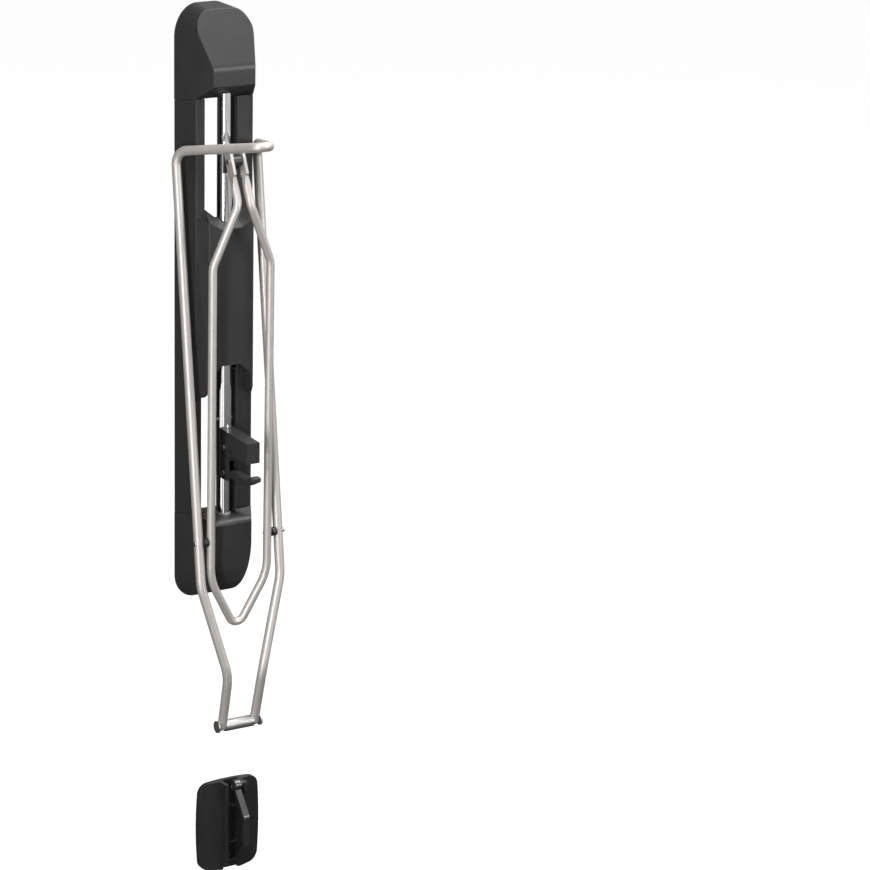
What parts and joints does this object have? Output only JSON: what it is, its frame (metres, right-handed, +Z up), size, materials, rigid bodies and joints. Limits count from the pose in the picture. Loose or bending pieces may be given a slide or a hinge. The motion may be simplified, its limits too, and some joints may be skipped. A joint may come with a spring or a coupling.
{
  "type": "wall-mounted bike rack",
  "caption": "Wall-mounted bicycle rack: a tall housing with a carriage sliding on a rod, folding tube frames that swing out and hook to a latch, and a separate rear-wheel rest.",
  "frame": {"origin": "on the wall plane, on the housing's centre line, midway between its upper and lower wall fixings", "axes": "+X to the right along the wall, +Y into the wall, +Z up"},
  "size_m": [0.1922, 0.2057, 1.533],
  "materials": {
    "black_plastic": "matt",
    "rest_plastic": "fine texture",
    "bush_plastic": "smooth",
    "black_metal": "satin",
    "grey_tube": "satin",
    "chrome": "polished",
    "steel": "satin",
    "rubber": "matt"
  },
  "bodies": {
    "wall_unit": {"rail_housing": "black_plastic", "centre_cover": "black_plastic", "top_cap": "black_plastic", "bottom_cap": "black_plastic", "top_wall_bracket": "steel", "bottom_wall_bracket": "steel", "guide_rod": "chrome", "rod_seats": "black_plastic", "rod_collar": "steel", "rest_plate": "rest_plastic", "rest_pin": "black_metal"},
    "carriage": {"carriage_sleeve": "chrome", "sleeve_bushes": "bush_plastic", "sleeve_rivets": "steel", "upper_bracket": "black_metal", "pivot_screw": "steel", "latch_block": "black_plastic", "block_screws": "steel", "catch_pin": "steel"},
    "catch": {"catch_hook": "black_plastic"},
    "inner": {"inner_frame": "grey_tube", "fold_pins": "steel"},
    "outer": {"outer_frame": "grey_tube", "crossbar": "steel", "crossbar_screws": "steel", "fold_spacers": "rubber"},
    "bow": {"rest_bow": "rest_plastic"}
  },
  "joints": [
    {"name": "lift_slide", "type": "slide", "parent": "wall_unit", "child": "carriage", "axis": [0, 0, 1], "range_m": [-0.04, 0.045]},
    {"name": "swing", "type": "hinge", "parent": "carriage", "child": "inner", "pos_m": [0, -0.1047, 0.2615], "axis": [-1, 0, 0], "range_deg": [0, 52]},
    {"name": "unfold", "type": "hinge", "parent": "inner", "child": "outer", "pos_m": [0, -0.12164, -0.377], "axis": [1, 0, 0], "range_deg": [0, 149]},
    {"name": "catch_turn", "type": "hinge", "parent": "carriage", "child": "catch", "pos_m": [0, -0.0865, -0.2725], "axis": [1, 0, 0], "range_deg": [0, 20], "stiffness_Nm_per_rad": 0.5, "springref_deg": -20.05},
    {"name": "bow_swing", "type": "hinge", "parent": "wall_unit", "child": "bow", "pos_m": [0.047, -0.03, -0.864], "axis": [-1, 0, 0], "range_deg": [0, 70]}
  ],
  "couplings": [
    {"joint": "unfold", "follows": "swing", "ratio": 2.8653}
  ]
}
